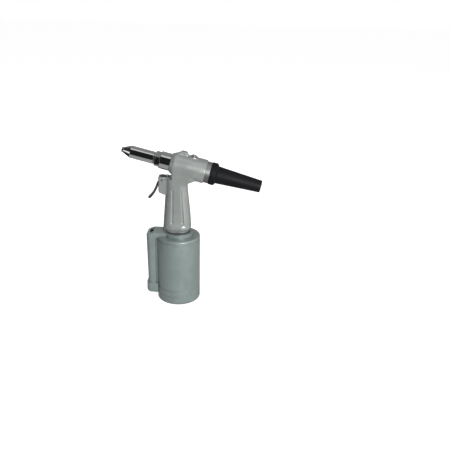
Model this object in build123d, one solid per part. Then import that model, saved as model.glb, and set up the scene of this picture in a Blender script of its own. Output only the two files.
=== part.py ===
from build123d import *
import os
from math import atan2, cos, degrees, radians, sin, tan

# Air and oil powered blind rivet tool, standing on its air cylinder.
# Millimetres. The origin is the centre of the base's underside, +Z runs up the
# cylinder, the nose points to -X and the air inlet is on the +Y side.

# Fits, all radial or face to face
fit_gap = 0.05
run_gap = 0.05
free_gap = 0.3

# Air cylinder barrel
barrel_radius = 43.5
barrel_wall = 7.5
barrel_top = 140.0
barrel_roof = 9.0
barrel_rim_round = 3.5
barrel_line_drop = 9.0
line_depth = 0.4
line_height = 0.9

# Raised boss on the barrel's top, with an ear for the pilot valve
boss_radius = 29.0
boss_height = 7.5
ear_wall = 3.8
pad_drop = 0.5
pad_edge_round = 1.2
way_plug_x = -39.5
way_plug_radius = 2.0
way_plug_depth = 5.0

# Screwed base
base_skirt = 27.3
base_floor = 8.0
base_thread = 8.0
base_ring_wall = 6.0
base_edge_round = 4.5
base_line_z = 16.8
spanner_hole_radius = 2.5
spanner_hole_depth = 4.0
spanner_hole_offset = 26.0
bumper_height = 3.0
bumper_inset = 2.0

# Valve chest on the barrel's front, sizes measured out from the barrel's wall
chest_low = 36.0
chest_drop = 2.0
chest_reach_low = 18.0
chest_reach_top = 19.9
chest_width = 37.0
chest_corner = 9.0
chest_back_round = 2.0
chest_gap = 1.1
chest_neck_width = 30.0
valve_standoff = 8.5
valve_bore_radius = 7.0
valve_roof = 7.0
port_radius = 2.2

# Cover with the exhaust slot on top of the chest
cover_front_height = 5.2
cover_back_standoff = 4.5
cover_slope_standoff = 7.0
cover_edge_round = 1.2
slot_standoff = 10.5
slot_length = 7.5
slot_width = 18.0
muffler_height = 4.4
muffler_lip = 1.4
cover_screw_standoff = 8.5
cover_screw_spacing = 29.2
cover_screw_seat = 4.6
cover_screw_radius = 1.5
cover_screw_head_radius = 2.6
cover_screw_head_height = 2.0
cover_screw_length = 12.0

# Inlet block under the chest
block_low = 12.6
block_reach = 21.2
block_width = 37.6
block_edge_round = 7.0
inlet_z = 22.0
inlet_standoff = 10.0
inlet_radius = 5.72
inlet_depth = 13.0
air_way_radius = 3.5
block_spigot_height = 8.0
block_screw_standoff = 1.9
block_screw_spacing = 25.0
block_screw_radius = 1.5
block_screw_head_radius = 2.1
block_screw_head_height = 2.5
block_screw_length = 34.0
plug_radius = 1.6
plug_depth = 4.0
plug_z = 32.0
plug_spacing = 7.5

# Main valve inside the chest
sleeve_wall = 2.0
spool_land_height = 6.0
spool_waist_radius = 3.0
land_count = 4
spool_length = 54.0
spool_spring_room = 14.0
valve_plug_height = 6.0
spool_wire = 0.8

# Air piston and ram
piston_height = 14.0
piston_web = 6.0
piston_rim = 6.0
piston_hub_radius = 12.0
piston_seal_height = 4.0
piston_seal_depth = 4.0
ram_radius = 6.0
ram_thread_radius = 4.0
ram_nut_width = 13.0
ram_nut_height = 6.5
ram_above_seal = 9.0
air_stroke = 55.0

# Handle's lower end and what holds it to the barrel
gasket_radius = 22.5
gasket_height = 1.5
neck_height = 4.5
neck_length = 46.0
neck_depth = 36.0
foot_lip_height = 12.0
foot_lip_length = 55.4
foot_lip_depth = 43.4
foot_centre = -2.0
spigot_radius = 17.0
clamp_nut_width = 44.0
clamp_nut_height = 8.0
gland_radius = 12.0
gland_flange_radius = 15.0
gland_flange_height = 4.0
gland_length = 16.0
ram_seal_height = 4.0
oil_bore_radius = 6.5
oil_port_radius = 4.0
oil_port_length = 24.0

# Head. Stations along its axis grow to the rear, from the cylinder's axis.
head_rise = 137.8
head_tilt = 13.6
housing_front = -14.0
housing_length = 69.4
housing_front_radius = 18.5
housing_shoulder_radius = 22.3
housing_rear_radius = 23.3
housing_chamfer_length = 7.0
head_bore_radius = 14.0
front_bore_radius = 13.0
front_bore_length = 12.0
rear_bore_radius = 17.0
rear_bore_length = 9.4

# Nose end
adapter_length = 21.1
adapter_radius = 17.0
adapter_edge = 0.9
sleeve_thread_radius = 11.5
sleeve_thread_length = 12.0
nose_nut_length = 10.2
nose_nut_width = 27.4
neck_show = 2.4
nose_sleeve_length = 46.3
nose_sleeve_radius = 12.15
nose_sleeve_bore = 9.6
cone_length = 14.5
nose_rim_length = 3.3
nose_rim_radius = 5.4
nose_body_radius = 4.4
nose_tail_radius = 2.9
mandrel_bore_radius = 1.55

# Pulling head
case_radius = 9.3
case_front_gap = 2.0
case_mouth_radius = 3.9
cone_half_angle = 12.0
case_thread_length = 5.0
case_wall_length = 28.0
jaw_length = 13.0
jaw_grip_radius = 1.45
jaw_travel = 2.5
jaw_fit = 0.1
jaw_front_inset = 0.7
jaw_sector = 114.0
jaw_count = 3
tooth_pitch = 1.25
tooth_depth = 0.45
tooth_count = 7
pusher_flange = 3.0
pusher_tail = 4.0
pusher_tail_radius = 3.9
pusher_bore_radius = 2.2
coupler_spring_radius = 6.5
coupler_spring_depth = 11.0
coupler_length = 23.4
coupler_thread_length = 12.0
jaw_spring_wire = 0.9

# Oil piston with its hollow rod
oil_piston_front = 9.0
oil_piston_length = 10.0
oil_seal_length = 3.5
oil_seal_depth = 3.0
front_rod_radius = 8.0
rear_rod_radius = 7.0
rod_thread_radius = 6.0
rod_bore_radius = 3.2
rear_rod_end = 76.0
rod_seal_length = 5.0
rod_seal_wall = 3.0
retainer_length = 1.0
return_wire = 1.8

# Rear end cap and mandrel collector
cap_length = 9.5
cap_radius = 21.0
cap_edge = 0.8
cap_spigot_radius = 15.0
cap_spigot_length = 9.1
bush_wall = 2.0
bush_length = 12.0
collar_length = 10.7
collar_radius = 22.0
collar_round = 1.8
collector_length = 101.8
collector_big_radius = 17.0
collector_small_radius = 11.9
collector_wall = 2.0
collector_step = 3.4
collector_end_round = 1.5
ring_radius = 0.85
ring_groove_width = 2.2

# Oil filler screw and cast lug on top of the head
filler_station = 27.0
filler_boss_radius = 9.0
filler_boss_top = 23.6
filler_hole_radius = 3.2
filler_screw_length = 6.0
filler_head_radius = 4.6
filler_head_height = 2.0
filler_socket_width = 4.0
filler_socket_depth = 1.6
washer_height = 0.8
washer_radius = 5.6
gallery_radius = 1.5
gallery_height = 18.2
lug_top = 28.8
lug_width = 11.0

# Grip: heights are measured up from the foot, or down from the head's axis
grip_corner = 14.0
grip_foot_rise = 7.0
grip_palm_rise = 42.0
grip_neck_drop = 45.0
flute_radius = 3.6
flute_depth = 1.3
flute_front_x = -9.6
flute_rear_x = 10.2
flute_foot_rise = 22.0
flute_top_drop = 50.0
flute_foot_side = 18.9
flute_top_side = 16.9

# Trigger, its box and the rod that it pulls; drops are from the head's axis
pin_x = -31.1
pin_drop = 31.1
pin_radius = 2.0
box_front = -38.0
box_top_drop = 24.8
box_foot_drop = 61.2
box_half_width = 9.5
trigger_box_rear = -12.0
grip_cut_x = -10.0
lever_width = 7.4
lever_thickness = 5.0
hub_radius = 4.2
arm_length = 10.2
arm_rise = 4.2
arm_tip_radius = 2.3
arm_thickness = 4.4
lever_swing = 17.0
pull_rod_radius = 1.5
pull_rod_foot_x = -29.5
pull_rod_top_x = -21.0
rod_head_radius = 3.2
rod_head_height = 2.3
rod_head_gap = 0.35
pilot_radius = 3.2
pilot_depth = 14.5
pilot_length = 5.0
pilot_cap_length = 3.6
pilot_wire = 0.6
vent_radius = 1.0

# Worked out from the sizes above
bore_radius = barrel_radius - barrel_wall
boss_top = barrel_top + boss_height
chest_top = barrel_top - chest_drop
pad_top = boss_top - pad_drop
roof_low = barrel_top - barrel_roof
foot_z = boss_top + gasket_height
head_z = foot_z + head_rise
base_ring_radius = bore_radius - base_ring_wall
base_ring_top = base_skirt + base_thread
piston_low = base_ring_top + bumper_height + free_gap
piston_top = piston_low + piston_height
spigot_low = roof_low - clamp_nut_height
gland_top = spigot_low + gland_length
ram_seal_top = gland_top + ram_seal_height
valve_x = -(barrel_radius + valve_standoff)
valve_bore_top = chest_top - valve_roof
chest_back = barrel_radius + chest_gap
cover_back = barrel_radius + cover_back_standoff
spool_low = valve_bore_top - valve_plug_height - spool_spring_room - spool_length
spool_radius = valve_bore_radius - fit_gap - sleeve_wall - run_gap

tilt = radians(head_tilt)
housing_rear = housing_front + housing_length
front_bore_end = housing_front + front_bore_length
rear_bore_start = housing_rear - rear_bore_length
adapter_front = housing_front - adapter_length
nut_front = adapter_front - nose_nut_length
sleeve_shoulder = nut_front - neck_show
sleeve_front = sleeve_shoulder - nose_sleeve_length
cone_front = sleeve_front - cone_length
tip = cone_front - nose_rim_length
case_front = sleeve_front + 2 * case_front_gap
cone_slope = tan(radians(cone_half_angle))
jaw_front = case_front + jaw_front_inset + jaw_travel
jaw_rear = jaw_front + jaw_length
case_bore_start = jaw_rear + jaw_travel / 2
case_bore = case_mouth_radius + (case_bore_start - case_front) * cone_slope
case_rear = case_front + case_wall_length
coupler_front = case_rear - case_thread_length
coupler_rear = coupler_front + case_thread_length + coupler_length
spring_seat = coupler_front + coupler_spring_depth
pusher_front = jaw_rear + jaw_fit
pusher_shoulder = pusher_front + pusher_flange
oil_piston_rear = oil_piston_front + oil_piston_length
cap_rear = housing_rear + cap_length
cap_spigot_end = cap_rear + cap_spigot_length
collar_rear = cap_rear + collar_length
collector_end = cap_rear + collector_length
oil_stroke = air_stroke * ram_radius**2 / (head_bore_radius**2 - front_rod_radius**2)

pin_z = head_z - pin_drop
box_top = head_z - box_top_drop
box_foot = head_z - box_foot_drop
arm_tip_x = pin_x + arm_length
arm_tip_z = pin_z + arm_rise
rod_lean = atan2(pull_rod_top_x - pull_rod_foot_x, box_top - boss_top)
rod_head_low = (arm_tip_z + arm_tip_radius + rod_head_gap - boss_top) / cos(rod_lean)

# Frames: along the head's axis with local X up, and along the pull rod
head = Plane(origin=(0, 0, head_z), x_dir=(sin(tilt), 0, cos(tilt)), z_dir=(cos(tilt), 0, -sin(tilt)))
rod_line = Plane(
    origin=(pull_rod_foot_x, 0, boss_top),
    x_dir=(cos(rod_lean), 0, -sin(rod_lean)),
    z_dir=(sin(rod_lean), 0, cos(rod_lean)),
)


# A solid of revolution about Z from (radius, height) points
def turned(*outline):
    return revolve(make_face(Plane.XZ * Polyline(*outline, close=True)), Axis.Z)


def bar(radius, low, high):
    return turned((0, low), (radius, low), (radius, high), (0, high))


def tube(inner, outer, low, high):
    return turned((inner, low), (outer, low), (outer, high), (inner, high))


def hexagon(across_flats, low, high):
    outline = RegularPolygon(across_flats / 2, 6, major_radius=False)
    return Pos(0, 0, low) * extrude(outline, high - low)


def block(x_low, x_high, width, z_low, z_high):
    size = Box(x_high - x_low, width, z_high - z_low)
    return Pos((x_low + x_high) / 2, 0, (z_low + z_high) / 2) * size


def coil(mean_radius, wire, turns, low, high):
    rise = high - low - wire
    path = Helix(pitch=rise / turns, height=rise, radius=mean_radius)
    section = Plane(origin=path @ 0, z_dir=path % 0) * RegularPolygon(wire / 2, 4)
    return Pos(0, 0, low + wire / 2) * sweep(section, path, is_frenet=True)


# A cylinder that stands out radially from the head's axis, at one station
def upright(radius, low, high, station):
    return Pos(0, 0, station) * Rot(0, 90, 0) * bar(radius, low, high)


def round_bar(start, end, radius):
    axis = Vector(*end) - Vector(*start)
    middle = Plane(origin=start, z_dir=axis) * bar(radius, 0, axis.length)
    return middle + Pos(*start) * Sphere(radius) + Pos(*end) * Sphere(radius)


# D-shaped plan with a flat back beside the barrel and a rounded front
def chest_plan(reach, width, corner, back=None, round_back=True):
    front = barrel_radius + reach
    back = chest_back if back is None else back
    plan = Pos(-(front + back) / 2, 0) * Rectangle(front - back, width)
    ends = plan.vertices().group_by(Axis.X)
    plan = fillet(ends[0], corner)
    if round_back:
        plan = fillet(plan.vertices().group_by(Axis.X)[-1], chest_back_round)
    return plan


def at_pair(x, spacing, solid):
    return [Pos(x, side * spacing / 2, 0) * solid for side in (-1, 1)]


def cover_screw_holes(radius, low, high):
    x = -(barrel_radius + cover_screw_standoff)
    return at_pair(x, cover_screw_spacing, bar(radius, low, high))


def block_screw_holes(radius, low, high):
    x = -(barrel_radius + block_screw_standoff)
    return at_pair(x, block_screw_spacing, bar(radius, low, high))


# Cast barrel and valve chest in one piece
def air_cylinder():
    shell = bar(barrel_radius, base_skirt, barrel_top)
    rim = shell.edges().filter_by(GeomType.CIRCLE).sort_by(Axis.Z)[-1]
    shell = fillet(rim, barrel_rim_round)
    line_z = barrel_top - barrel_line_drop
    shell -= tube(barrel_radius - line_depth, barrel_radius + 1, line_z - line_height, line_z)
    lower = Pos(0, 0, chest_low) * chest_plan(chest_reach_low, chest_width, chest_corner)
    upper = Pos(0, 0, chest_top) * chest_plan(chest_reach_top, chest_width, chest_corner)
    shell += loft([lower, upper], ruled=True)
    shell += block(-chest_back - 1, -bore_radius - 1, chest_neck_width, chest_low, chest_top)
    pad = block(-cover_back, -pilot_radius, chest_width, chest_top, pad_top)
    shell += fillet(pad.edges().filter_by(Axis.X).group_by(Axis.Z)[-1], pad_edge_round)
    shell += bar(boss_radius, barrel_top - barrel_roof, boss_top)
    shell += Pos(pull_rod_foot_x, 0, 0) * bar(pilot_radius + ear_wall, roof_low, boss_top)
    shell -= bar(bore_radius, base_skirt, roof_low)
    shell -= bar(spigot_radius + fit_gap, roof_low, boss_top)
    shell -= rod_line * bar(pilot_radius, -pilot_depth, pilot_depth)
    shell -= rod_line * bar(vent_radius, -2 * pilot_depth, 0)
    shell -= Pos(way_plug_x, 0, 0) * bar(way_plug_radius + fit_gap, pad_top - way_plug_depth, pad_top)
    shell -= Pos(valve_x, 0, 0) * bar(valve_bore_radius, chest_low, valve_bore_top)
    shell -= Pos(valve_x, 0, 0) * bar(port_radius, valve_bore_top, chest_top)
    for port_z in (base_ring_top + port_radius / 2, roof_low - 2 * port_radius):
        shell -= Pos(0, 0, port_z) * Rot(0, -90, 0) * bar(port_radius, bore_radius - 5, -valve_x)
    for hole in cover_screw_holes(cover_screw_radius + fit_gap, chest_top - cover_screw_length, chest_top):
        shell -= hole
    screw_top = block_low + block_screw_head_height + block_screw_length
    for hole in block_screw_holes(block_screw_radius + fit_gap, chest_low, screw_top + 1):
        shell -= hole
    return shell


# Set screw that closes the drilling between the pilot valve and the chest
def pilot_way_plug():
    high = pad_top - pad_drop / 2
    plug = bar(way_plug_radius, pad_top - way_plug_depth, high)
    plug -= hexagon(way_plug_radius, high - way_plug_depth / 2, high)
    return Pos(way_plug_x, 0, 0) * plug


# Screwed lower end of the barrel that the tool stands on
def base_cap():
    cap = bar(barrel_radius, 0, base_skirt)
    cap = fillet(cap.edges().filter_by(GeomType.CIRCLE).sort_by(Axis.Z)[0], base_edge_round)
    cap += bar(bore_radius - fit_gap, base_skirt, base_ring_top)
    cap -= bar(base_ring_radius, base_floor, base_ring_top)
    cap -= tube(barrel_radius - line_depth, barrel_radius + 1, base_line_z, base_line_z + line_height)
    for hole in at_pair(0, 2 * spanner_hole_offset, bar(spanner_hole_radius, 0, spanner_hole_depth)):
        cap -= hole
    return cap


def piston_bumper():
    return tube(base_ring_radius, bore_radius - bumper_inset, base_ring_top, base_ring_top + bumper_height)


def air_piston():
    rim = bore_radius - free_gap
    low, high = piston_low, piston_top
    body = turned(
        (ram_thread_radius + fit_gap, low),
        (rim - 3, low),
        (rim, low + 3),
        (rim, high),
        (rim - piston_rim, high),
        (rim - piston_rim - 1, low + piston_web),
        (piston_hub_radius + 1, low + piston_web),
        (piston_hub_radius, high),
        (ram_thread_radius + fit_gap, high),
    )
    middle = (low + high) / 2 + 1
    groove = tube(rim - piston_seal_depth, rim + 1, middle - piston_seal_height / 2, middle + piston_seal_height / 2)
    return body - groove


def air_piston_seal():
    rim = bore_radius - free_gap
    middle = (piston_low + piston_top) / 2 + 1
    low, high = middle - piston_seal_height / 2, middle + piston_seal_height / 2
    return tube(rim - piston_seal_depth, bore_radius - run_gap, low, high)


def ram():
    thread_low = piston_low - ram_nut_height - 1
    top = ram_seal_top + ram_above_seal
    return turned(
        (0, thread_low),
        (ram_thread_radius, thread_low),
        (ram_thread_radius, piston_top),
        (ram_radius, piston_top),
        (ram_radius, top - 1),
        (ram_radius - 1, top),
        (0, top),
    )


def ram_nut():
    nut = hexagon(ram_nut_width, piston_low - ram_nut_height, piston_low)
    return nut - bar(ram_thread_radius + fit_gap, piston_low - ram_nut_height, piston_low)


def ram_gland():
    low = spigot_low - gland_flange_height
    return turned(
        (ram_radius + run_gap, low),
        (gland_flange_radius, low),
        (gland_flange_radius, spigot_low),
        (gland_radius - fit_gap, spigot_low),
        (gland_radius - fit_gap, gland_top),
        (ram_radius + run_gap, gland_top),
    )


def ram_seal():
    return tube(ram_radius + run_gap, gland_radius - fit_gap, gland_top, ram_seal_top)


def clamp_nut():
    nut = hexagon(clamp_nut_width, spigot_low, roof_low)
    return nut - bar(spigot_radius + fit_gap, spigot_low, roof_low)


def foot_gasket():
    return tube(spigot_radius + fit_gap, gasket_radius, boss_top, foot_z)


# Sleeve with three rows of ports round the spool
def valve_sleeve():
    inner = valve_bore_radius - fit_gap - sleeve_wall
    low = chest_low + block_spigot_height
    high = valve_bore_top - valve_plug_height
    sleeve = tube(inner, valve_bore_radius - fit_gap, low, high)
    for share in (0.2, 0.45, 0.7):
        port_z = low + share * (high - low)
        for turn in (0, 90):
            cross = Rot(0, 90, 0) * bar(port_radius * 0.8, -valve_bore_radius, valve_bore_radius)
            sleeve -= Pos(0, 0, port_z) * Rot(0, 0, turn) * cross
    return Pos(valve_x, 0, 0) * sleeve


def valve_spool():
    pitch = (spool_length - spool_land_height) / (land_count - 1)
    spool = bar(spool_waist_radius, spool_low, spool_low + spool_length)
    for land in range(land_count):
        low = spool_low + land * pitch
        spool += bar(spool_radius, low, low + spool_land_height)
    return Pos(valve_x, 0, 0) * spool


def spool_spring():
    low = spool_low + spool_length
    radius = spool_radius - spool_wire
    return Pos(valve_x, 0, 0) * coil(radius, spool_wire, 4, low, low + spool_spring_room)


def valve_plug():
    low = valve_bore_top - valve_plug_height
    return Pos(valve_x, 0, 0) * tube(port_radius, valve_bore_radius - fit_gap, low, valve_bore_top)


def slot_box(length, width, low, high):
    front = -(barrel_radius + slot_standoff) - length / 2
    return block(front, front + length, width, low, high)


def chest_cover():
    front = -(barrel_radius + chest_reach_top)
    plan = chest_plan(chest_reach_top, chest_width, chest_corner, cover_back, False)
    cover = Pos(0, 0, chest_top) * extrude(plan, pad_top - chest_top)
    slope = Polyline(
        (front - 1, chest_top + cover_front_height),
        (-(barrel_radius + cover_slope_standoff), pad_top),
        (-(barrel_radius + cover_slope_standoff), pad_top + 1),
        (front - 1, pad_top + 1),
        close=True,
    )
    cover -= extrude(make_face(Plane.XZ * slope), chest_width, both=True)
    rims = [e for e in cover.edges() if e.center().Z > chest_top + cover_front_height - 1]
    rims = [e for e in rims if abs(e.center().Y) > chest_width / 4 or e.center().X < front + 1]
    cover = fillet(rims, cover_edge_round)
    cover -= slot_box(slot_length, slot_width, chest_top, pad_top)
    lip = 2 * muffler_lip
    cover -= slot_box(slot_length + lip, slot_width + lip, chest_top, chest_top + muffler_height)
    for hole in cover_screw_holes(cover_screw_radius + fit_gap, chest_top, pad_top):
        cover -= hole
    for hole in cover_screw_holes(cover_screw_head_radius + fit_gap, chest_top + cover_screw_seat, pad_top):
        cover -= hole
    return cover


def exhaust_muffler():
    lip = 2 * muffler_lip - 2 * fit_gap
    return slot_box(slot_length + lip, slot_width + lip, chest_top, chest_top + muffler_height)


def cap_screws(holes, radius, head_radius, head_height, length, head_low, upward):
    socket = head_height * 0.6
    if upward:
        shape = bar(head_radius, head_low, head_low + head_height)
        shape += bar(radius, head_low + head_height, head_low + head_height + length)
        shape -= hexagon(head_radius, head_low, head_low + socket)
    else:
        shape = bar(head_radius, head_low, head_low + head_height)
        shape += bar(radius, head_low - length, head_low)
        shape -= hexagon(head_radius, head_low + head_height - socket, head_low + head_height)
    return Compound(children=[place * shape for place in holes])


def chest_cover_screws():
    x = -(barrel_radius + cover_screw_standoff)
    places = [Pos(x, side * cover_screw_spacing / 2, 0) for side in (-1, 1)]
    head_low = chest_top + cover_screw_seat
    return cap_screws(
        places,
        cover_screw_radius,
        cover_screw_head_radius,
        cover_screw_head_height,
        head_low - chest_top + cover_screw_length - 1,
        head_low,
        False,
    )


def plug_places():
    x = -(barrel_radius + inlet_standoff)
    return [Pos(x + side * plug_spacing / 2, block_width / 2, plug_z) * Rot(90, 0, 0) for side in (-1, 1)]


def inlet_block():
    body = Pos(0, 0, block_low) * extrude(
        chest_plan(block_reach, block_width, chest_corner, bore_radius, False), chest_low - block_low
    )
    lower = [e for e in body.edges().group_by(Axis.Z)[0] if e.center().X < -bore_radius - 0.1]
    body = fillet(lower, block_edge_round)
    body -= bar(barrel_radius + chest_gap, 0, chest_low)
    body += Pos(valve_x, 0, 0) * bar(valve_bore_radius - fit_gap, chest_low, chest_low + block_spigot_height)
    inlet_x = -(barrel_radius + inlet_standoff)
    mouth = Pos(inlet_x, block_width / 2, inlet_z) * Rot(90, 0, 0)
    body -= mouth * bar(inlet_radius, 0, inlet_depth)
    body -= mouth * bar(air_way_radius, 0, block_width / 2)
    body -= Pos(valve_x, 0, 0) * bar(air_way_radius, inlet_z, chest_low + block_spigot_height)
    for hole in block_screw_holes(block_screw_radius + fit_gap, block_low, chest_low):
        body -= hole
    for hole in block_screw_holes(block_screw_head_radius + fit_gap, block_low, block_low + block_screw_head_height):
        body -= hole
    for place in plug_places():
        body -= place * bar(plug_radius + fit_gap, 0, plug_depth)
    return body


def inlet_block_screws():
    x = -(barrel_radius + block_screw_standoff)
    places = [Pos(x, side * block_screw_spacing / 2, 0) for side in (-1, 1)]
    return cap_screws(
        places,
        block_screw_radius,
        block_screw_head_radius,
        block_screw_head_height,
        block_screw_length,
        block_low,
        True,
    )


# Two set screws that close the block's cross drillings, beside the inlet
def drilling_plugs():
    plug = bar(plug_radius, 0.3, plug_depth) - hexagon(plug_radius, 0.3, plug_depth / 2)
    return Compound(children=[place * plug for place in plug_places()])


# Main casting: head barrel, grip, foot, spigot and trigger box in one piece
def grip_sections():
    rows = (
        # height, front, rear and half depth
        (foot_z + grip_foot_rise, 28.7, 24.6, 20.0),
        (foot_z + grip_palm_rise, 25.7, 23.3, 18.2),
        (box_foot, 23.4, 20.0, 17.0),
        (head_z - grip_neck_drop, 22.6, 18.8, 16.8),
    )
    flare = (
        (head_z - grip_neck_drop, 22.6, 18.8, 16.8),
        (head_z - 40.5, 22.5, 19.2, 16.8),
        (head_z - 37.0, 22.4, 21.4, 16.9),
        (head_z - 34.0, 22.3, 27.0, 17.1),
        (head_z - 31.0, 22.3, 34.0, 17.5),
        (head_z - 19.0, 22.3, 39.0, 18.8),
        (head_z - 7.0, 22.2, 41.0, 20.8),
    )
    return rows, flare


def grip_section(height, front, rear, half_depth):
    outline = RectangleRounded(front + rear, 2 * half_depth, grip_corner)
    return Pos((rear - front) / 2, 0, height) * outline


def grip():
    rows, flare = grip_sections()
    lower = loft([grip_section(*row) for row in rows])
    upper = loft([grip_section(*row) for row in flare])
    return lower + upper


def foot():
    neck = RectangleRounded(neck_length, neck_depth, neck_depth * 0.45)
    lip = RectangleRounded(foot_lip_length, foot_lip_depth, foot_lip_depth * 0.45)
    lip_low = foot_z + neck_height
    shape = Pos(foot_centre, 0, foot_z) * extrude(neck, neck_height)
    ring = Pos(foot_centre, 0, lip_low) * extrude(lip, foot_lip_height)
    ring = fillet(ring.edges().group_by(Axis.Z)[0], foot_lip_height * 0.4)
    ring = fillet(ring.edges().group_by(Axis.Z)[-1], foot_lip_height * 0.4)
    return shape + ring


def trigger_box():
    foot_x = pull_rod_top_x - 3.6
    outline = Polyline(
        (trigger_box_rear, box_top),
        (box_front, box_top),
        (box_front, box_foot + 8.0),
        (box_front + 2.2, box_foot + 4.2),
        (box_front + 7.3, box_foot + 2.3),
        (foot_x, box_foot),
        (trigger_box_rear, box_foot),
        close=True,
    )
    box = extrude(make_face(Plane.XZ * outline), box_half_width, both=True)
    front = box.edges().filter_by(Axis.Z).group_by(Axis.X)[0]
    return fillet(front, 2.5)


def head_barrel():
    shoulder = housing_front + housing_chamfer_length
    body = turned(
        (0, housing_front),
        (housing_front_radius, housing_front),
        (housing_shoulder_radius, shoulder),
        (housing_rear_radius, rear_bore_start),
        (housing_rear_radius, housing_rear - 1.2),
        (housing_rear_radius - 0.8, housing_rear),
        (0, housing_rear),
    )
    edge = [e for e in body.edges().filter_by(GeomType.CIRCLE) if abs(e.center().Z - shoulder) < 0.01]
    return fillet(edge, 3.0)


def cast_lug():
    outline = Polyline(
        (housing_front_radius, -7.0),
        (housing_shoulder_radius - 0.6, -6.0),
        (lug_top, 3.0),
        (lug_top, 11.5),
        (housing_shoulder_radius, 16.5),
        (housing_front_radius, 16.5),
        close=True,
    )
    lug = extrude(make_face(Plane.XZ * outline), lug_width / 2, both=True)
    return fillet(lug.edges().group_by(Axis.X)[-1], 1.6)


def flutes():
    cuts = []
    outward = flute_radius - flute_depth
    for x in (flute_front_x, flute_rear_x):
        for side in (-1, 1):
            low = (x * 1.08, side * (flute_foot_side + outward), foot_z + flute_foot_rise)
            high = (x * 0.9 - 0.6, side * (flute_top_side + outward), head_z - flute_top_drop)
            cuts.append(round_bar(low, high, flute_radius))
    return cuts


def handle_housing():
    # the grip's front upper corner goes, above the trigger box and under the barrel
    shape = grip() - block(2 * box_front, grip_cut_x, 2 * barrel_radius, box_top - 2, head_z + barrel_radius)
    shape += trigger_box()
    shape += foot()
    shape += bar(spigot_radius, spigot_low, foot_z + 1)
    shape += head * head_barrel()
    shape += head * cast_lug()
    shape += head * upright(filler_boss_radius, gallery_height, filler_boss_top, filler_station)
    for cut in flutes():
        shape -= cut
    shape -= head * bar(front_bore_radius, housing_front, front_bore_end)
    shape -= head * bar(head_bore_radius, front_bore_end, rear_bore_start)
    shape -= head * bar(rear_bore_radius, rear_bore_start, housing_rear)
    shape -= bar(gland_radius, spigot_low, ram_seal_top)
    shape -= bar(oil_bore_radius, ram_seal_top, head_z - oil_port_length - head_bore_radius)
    shape -= bar(oil_port_radius, ram_seal_top, head_z)
    drill_station = head_bore_radius * tan(tilt)
    shape -= head * upright(filler_hole_radius, gallery_height - 1.5, filler_boss_top, filler_station)
    shape -= head * (Pos(gallery_height, 0, 0) * bar(gallery_radius, drill_station, filler_station))
    shape -= head * upright(gallery_radius, head_bore_radius - 1, gallery_height, drill_station)
    slot = lever_width + 2 * free_gap
    shape -= block(box_front - 1, pin_x + hub_radius + 1, slot, pin_z - 10, box_top + 1)
    shape -= block(box_front - 1, pin_x - 1, slot, box_foot - 1, pin_z - 9)
    shape -= block(box_front - 1, arm_tip_x + arm_tip_radius + 2, slot, pin_z - 2, box_top + 1)
    shape -= Pos(pin_x, 0, pin_z) * Rot(90, 0, 0) * bar(pin_radius, -box_half_width, box_half_width)
    shape -= rod_line * bar(pull_rod_radius + free_gap + 0.1, 0, rod_head_low + rod_head_height + 8)
    return shape


def trigger_lever():
    hub = Pos(pin_x, pin_z) * Circle(hub_radius)
    tip_disc = Pos(arm_tip_x, arm_tip_z) * Circle(arm_tip_radius)
    arm = trace(Line((pin_x, pin_z), (arm_tip_x, arm_tip_z)), arm_thickness)
    finger = Spline(
        (pin_x, pin_z), (pin_x - 6.8, pin_z - 5.4), (pin_x - 10.6, pin_z - 14.2),
        (pin_x - 15.4, pin_z - 24.4), (pin_x - 25.4, pin_z - 37.4),
    )
    crown = make_face(
        Polyline(
            (pin_x - 4.0, pin_z), (pin_x - 3.6, pin_z + 7.6), (pin_x - 0.4, pin_z + 9.3),
            (pin_x + 5.4, pin_z + 8.2), (pin_x + 5.8, pin_z + 1.0), close=True,
        )
    )
    end = Pos(pin_x - 25.4, pin_z - 37.4) * Circle(lever_thickness * 0.56)
    side = hub + tip_disc + arm + trace(finger, lever_thickness) + crown + end
    lever = extrude(Plane.XZ * side, lever_width / 2, both=True)
    lever -= Pos(pin_x, 0, pin_z) * Rot(90, 0, 0) * bar(pin_radius + run_gap, -lever_width, lever_width)
    fork = 2 * (pull_rod_radius + free_gap)
    low, high = pin_z - 3, pin_z + 15
    return lever - block(arm_tip_x - 2.6, arm_tip_x + 2 * arm_tip_radius, fork, low, high)


def trigger_pin():
    return Pos(pin_x, 0, pin_z) * Rot(90, 0, 0) * bar(pin_radius, -box_half_width, box_half_width)


def pull_rod():
    low = pilot_length - pilot_depth + free_gap
    shaft = bar(1.0, low - 3, low) + bar(pull_rod_radius, low, rod_head_low)
    return rod_line * (shaft + bar(rod_head_radius, rod_head_low, rod_head_low + rod_head_height))


def pilot_valve():
    low = free_gap - pilot_depth
    valve = bar(pilot_radius - run_gap, low, low + pilot_length)
    return rod_line * (valve - bar(1.0 + fit_gap, low + pilot_length - 3.1, low + pilot_length))


def pilot_spring():
    low = free_gap - pilot_depth + pilot_length
    radius = pull_rod_radius + free_gap + pilot_wire
    return rod_line * coil(radius, pilot_wire, 3, low, -pilot_cap_length)


def pilot_cap():
    return rod_line * tube(pull_rod_radius + run_gap, pilot_radius - fit_gap, -pilot_cap_length, 0)


# Head pieces, each along the head's own axis
def frame_adapter():
    bore_end = adapter_front + sleeve_thread_length
    seal_start = front_bore_end - retainer_length - rod_seal_length
    return head * turned(
        (sleeve_thread_radius, adapter_front),
        (adapter_radius - adapter_edge, adapter_front),
        (adapter_radius, adapter_front + adapter_edge),
        (adapter_radius, housing_front - adapter_edge),
        (adapter_radius - adapter_edge, housing_front),
        (front_bore_radius - fit_gap, housing_front),
        (front_bore_radius - fit_gap, front_bore_end),
        (front_rod_radius + rod_seal_wall, front_bore_end),
        (front_rod_radius + rod_seal_wall, seal_start),
        (front_rod_radius + run_gap, seal_start),
        (front_rod_radius + run_gap, bore_end),
        (sleeve_thread_radius, bore_end),
    )


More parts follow.
